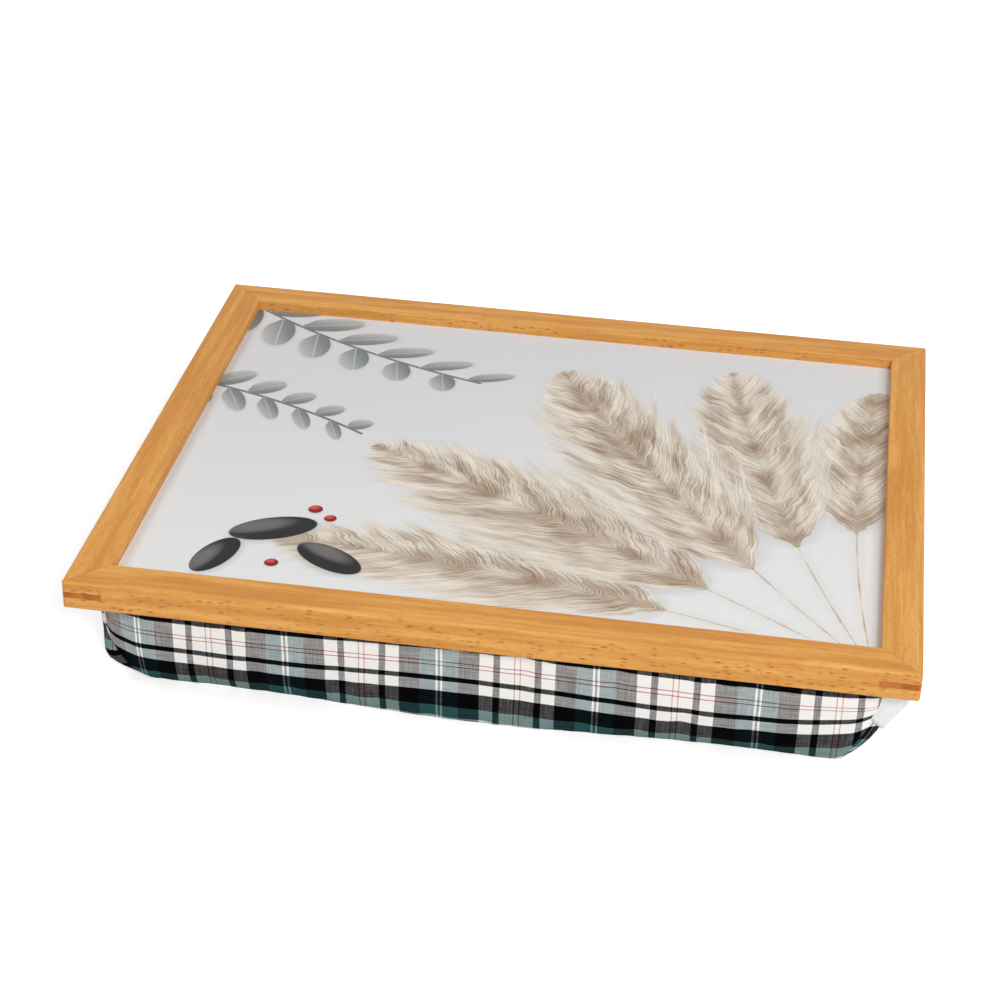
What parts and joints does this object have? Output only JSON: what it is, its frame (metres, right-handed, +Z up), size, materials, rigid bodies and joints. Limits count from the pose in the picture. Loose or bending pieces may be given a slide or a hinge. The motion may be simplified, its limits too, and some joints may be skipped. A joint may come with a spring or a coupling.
{
  "type": "lap tray with cushion",
  "caption": "Lap tray: a mitred wooden frame with keyed corners round a printed wipe-clean board, on a tartan bead-filled cushion held by hook and loop tape.",
  "frame": {"origin": "middle of the cushion's base, on the surface the tray rests on", "axes": "+X along the tray's length to the right, +Y to the back, +Z up"},
  "size_m": [0.44, 0.362, 0.07],
  "materials": {
    "beech": "satin",
    "key_wood": "satin",
    "fibreboard": "matte",
    "printed_laminate": "satin",
    "backing_paper": "matte",
    "pin_steel": "satin",
    "hook_tape": "matte",
    "loop_tape": "matte",
    "tartan_cloth": "matte",
    "plain_cloth": "matte",
    "bead_filling": "matte",
    "label_ribbon": "satin"
  },
  "bodies": {
    "cushion": {"cushion_cover": "tartan_cloth", "cushion_top_panel": "plain_cloth", "bead_filling": "bead_filling", "seam_label": "label_ribbon", "front_loop_tape": "loop_tape", "back_loop_tape": "loop_tape", "left_loop_tape": "loop_tape", "right_loop_tape": "loop_tape"},
    "tray": {"front_rail": "beech", "back_rail": "beech", "left_rail": "beech", "right_rail": "beech", "front_left_key": "key_wood", "front_right_key": "key_wood", "back_left_key": "key_wood", "back_right_key": "key_wood", "board_core": "fibreboard", "printed_laminate": "printed_laminate", "backing_sheet": "backing_paper", "panel_pins": "pin_steel", "front_hook_tape": "hook_tape", "back_hook_tape": "hook_tape", "left_hook_tape": "hook_tape", "right_hook_tape": "hook_tape"}
  },
  "joints": [
    {"name": "tray_lift", "type": "slide", "parent": "cushion", "child": "tray", "axis": [0, 0, 1], "range_m": [0, 0.12]}
  ]
}
